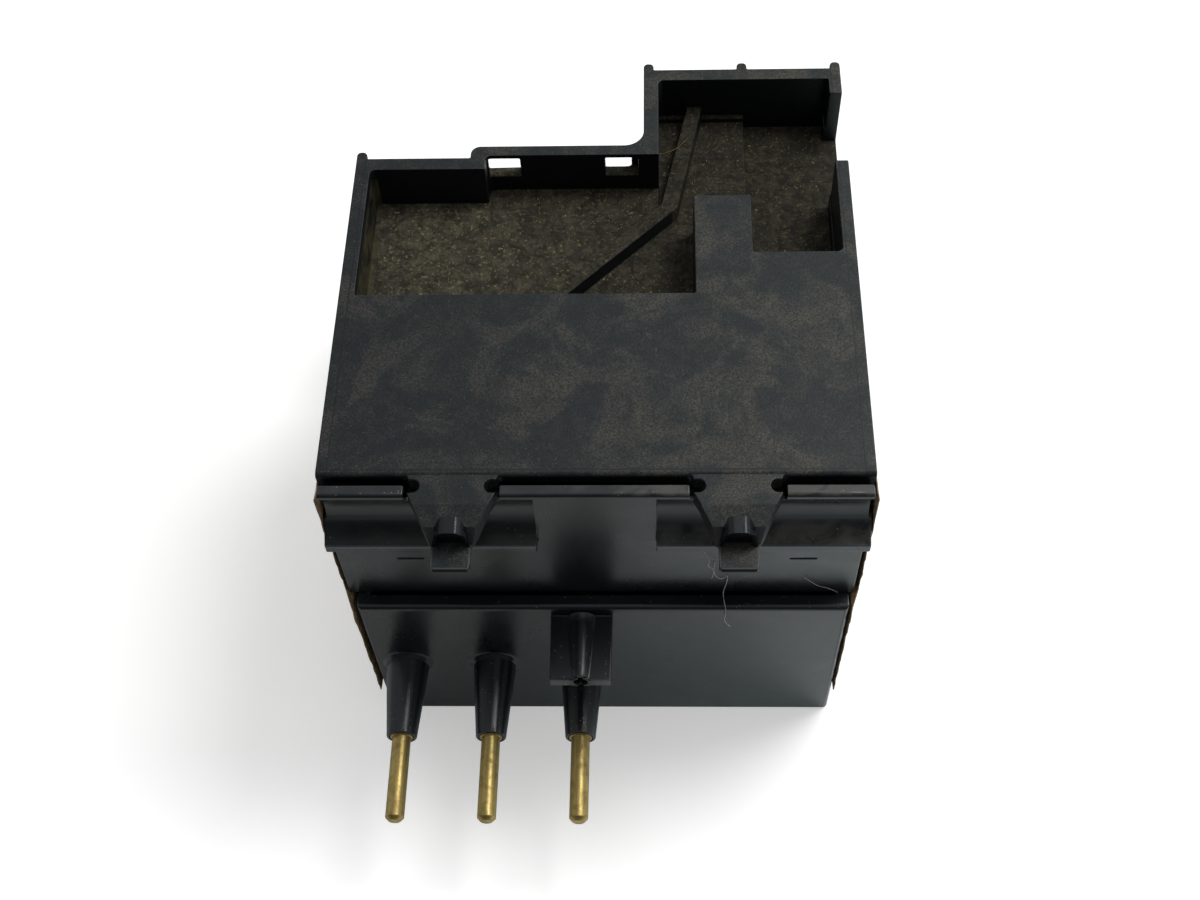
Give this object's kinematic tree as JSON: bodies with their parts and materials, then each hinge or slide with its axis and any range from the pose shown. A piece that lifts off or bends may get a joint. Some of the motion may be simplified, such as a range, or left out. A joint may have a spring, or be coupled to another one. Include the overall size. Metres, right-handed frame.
{
  "type": "thermal overload relay",
  "caption": "Plug-in thermal overload relay with sleeved pins and latch hooks, an open-bay back, screw terminals, current dial, buttons and a working trip mechanism.",
  "frame": {"origin": "middle of the bounding box on the surface that the relay's front face rests on", "axes": "+X across the poles, +Y from the plug pins towards the cable side, +Z from the front face up to the back"},
  "size_m": [0.045, 0.065, 0.0385],
  "materials": {
    "housing": "black moulded plastic with fine spark texture",
    "pin_brass": "dull plated brass",
    "copper": "bare copper alloy",
    "bimetal": "rolled bimetal strip",
    "heater": "resistance ribbon",
    "zinc": "zinc plated steel",
    "spring": "spring steel wire",
    "silver": "silver contact alloy",
    "mechanism": "natural moulded plastic",
    "frame_plate": "dark grey moulded plastic",
    "dial": "light grey moulded plastic",
    "window": "clear moulded plastic",
    "reset": "blue moulded plastic",
    "stop": "red moulded plastic",
    "flag": "orange moulded plastic"
  },
  "bodies": {
    "relay_body": {"bimetal_bracket_1": "copper", "bimetal_bracket_2": "copper", "bimetal_bracket_3": "copper", "bimetal_strip_1": "bimetal", "bimetal_strip_2": "bimetal", "bimetal_strip_3": "bimetal", "control_terminal_screws": "zinc", "control_terminal_washers": "zinc", "fixed_contact_rivets": "silver", "front_housing": "housing", "heater_winding_1": "heater", "heater_winding_2": "heater", "heater_winding_3": "heater", "line_pin_1": "pin_brass", "line_pin_2": "pin_brass", "line_pin_3": "pin_brass", "load_bar_1": "copper", "load_bar_2": "copper", "load_bar_3": "copper", "main_housing": "housing", "mechanism_frame": "frame_plate", "nc_contact_strip_front": "copper", "nc_contact_strip_rear": "copper", "no_contact_strip_front": "copper", "no_contact_strip_rear": "copper", "rear_cover": "housing", "reset_spring": "spring", "stop_spring": "spring", "terminal_block": "housing"},
    "current_dial": {"current_dial": "dial"},
    "adjusting_arm": {"adjusting_arm": "mechanism"},
    "dial_window": {"dial_window": "window"},
    "reset_button": {"reset_button": "reset"},
    "stop_button": {"stop_button": "stop"},
    "trip_slide": {"trip_slide": "mechanism"},
    "differential_slide": {"differential_slide": "mechanism"},
    "trip_lever": {"trip_lever": "mechanism", "compensating_bimetal": "bimetal"},
    "contact_lever": {"contact_lever": "mechanism", "contact_bridges": "copper", "moving_contact_rivets": "silver"},
    "trip_flag": {"trip_flag": "flag"},
    "main_terminal_screw_1": {"main_terminal_screw_1": "zinc"},
    "main_terminal_clamp_1": {"main_terminal_clamp_1": "zinc"},
    "main_terminal_screw_2": {"main_terminal_screw_2": "zinc"},
    "main_terminal_clamp_2": {"main_terminal_clamp_2": "zinc"},
    "main_terminal_screw_3": {"main_terminal_screw_3": "zinc"},
    "main_terminal_clamp_3": {"main_terminal_clamp_3": "zinc"}
  },
  "joints": [
    {"name": "dial_turn", "type": "hinge", "parent": "relay_body", "child": "current_dial", "pos_m": [0.007, -0.00445, 0.0022], "axis": [0, 0, 1], "range_deg": [-135, 135]},
    {"name": "adjusting_arm_swing", "type": "hinge", "parent": "relay_body", "child": "adjusting_arm", "pos_m": [0.0039, 0.00105, 0.006], "axis": [0, 0, 1], "range_deg": [-6.1, 6.1]},
    {"name": "window_hinge", "type": "hinge", "parent": "relay_body", "child": "dial_window", "pos_m": [0.0067, -0.01025, 0.00075], "axis": [-1, 0, 0], "range_deg": [0, 110]},
    {"name": "reset_push", "type": "slide", "parent": "relay_body", "child": "reset_button", "axis": [0, 0, 1], "range_m": [0, 0.0025], "stiffness_N_per_m": 500, "springref_m": -0.001, "deforming": ["reset_spring"]},
    {"name": "stop_push", "type": "slide", "parent": "relay_body", "child": "stop_button", "axis": [0, 0, 1], "range_m": [0, 0.0025], "stiffness_N_per_m": 500, "springref_m": -0.001, "deforming": ["stop_spring"]},
    {"name": "trip_slide_move", "type": "slide", "parent": "relay_body", "child": "trip_slide", "axis": [1, 0, 0], "range_m": [0, 0.0012], "stiffness_N_per_m": 300, "springref_m": -0.001},
    {"name": "differential_slide_move", "type": "slide", "parent": "relay_body", "child": "differential_slide", "axis": [1, 0, 0], "range_m": [0, 0.00061]},
    {"name": "trip_lever_swing", "type": "hinge", "parent": "relay_body", "child": "trip_lever", "pos_m": [0.0105, 0.00255, 0.008], "axis": [0, 0, 1], "range_deg": [-6.2, 0]},
    {"name": "contact_lever_swing", "type": "hinge", "parent": "relay_body", "child": "contact_lever", "pos_m": [0.0143, 0.00655, 0.016], "axis": [0, 0, 1], "range_deg": [0, 10.1]},
    {"name": "trip_flag_move", "type": "slide", "parent": "relay_body", "child": "trip_flag", "axis": [1, 0, 0], "range_m": [0, 0.00181]},
    {"name": "main_terminal_screw_1_turn", "type": "hinge", "parent": "relay_body", "child": "main_terminal_screw_1", "pos_m": [-0.0172, 0.02655, 0.005], "axis": [0, 0, 1], "range_deg": [0, 1545]},
    {"name": "main_terminal_clamp_1_move", "type": "slide", "parent": "relay_body", "child": "main_terminal_clamp_1", "axis": [0, 0, -1], "range_m": [0, 0.003]},
    {"name": "main_terminal_screw_2_turn", "type": "hinge", "parent": "relay_body", "child": "main_terminal_screw_2", "pos_m": [-0.009, 0.02655, 0.005], "axis": [0, 0, 1], "range_deg": [0, 1545]},
    {"name": "main_terminal_clamp_2_move", "type": "slide", "parent": "relay_body", "child": "main_terminal_clamp_2", "axis": [0, 0, -1], "range_m": [0, 0.003]},
    {"name": "main_terminal_screw_3_turn", "type": "hinge", "parent": "relay_body", "child": "main_terminal_screw_3", "pos_m": [-0.0008, 0.02655, 0.005], "axis": [0, 0, 1], "range_deg": [0, 1545]},
    {"name": "main_terminal_clamp_3_move", "type": "slide", "parent": "relay_body", "child": "main_terminal_clamp_3", "axis": [0, 0, -1], "range_m": [0, 0.003]}
  ],
  "couplings": [
    {"joint": "adjusting_arm_swing", "follows": "dial_turn", "ratio": -0.045},
    {"joint": "differential_slide_move", "follows": "trip_slide_move", "ratio": 0.5},
    {"joint": "trip_lever_swing", "follows": "trip_slide_move", "rad_per_m": -90},
    {"joint": "contact_lever_swing", "follows": "trip_slide_move", "rad_per_m": 145},
    {"joint": "trip_flag_move", "follows": "trip_slide_move", "ratio": 1.5},
    {"joint": "main_terminal_screw_1_turn", "follows": "main_terminal_clamp_1_move", "rad_per_m": 8976},
    {"joint": "main_terminal_screw_2_turn", "follows": "main_terminal_clamp_2_move", "rad_per_m": 8976},
    {"joint": "main_terminal_screw_3_turn", "follows": "main_terminal_clamp_3_move", "rad_per_m": 8976}
  ]
}
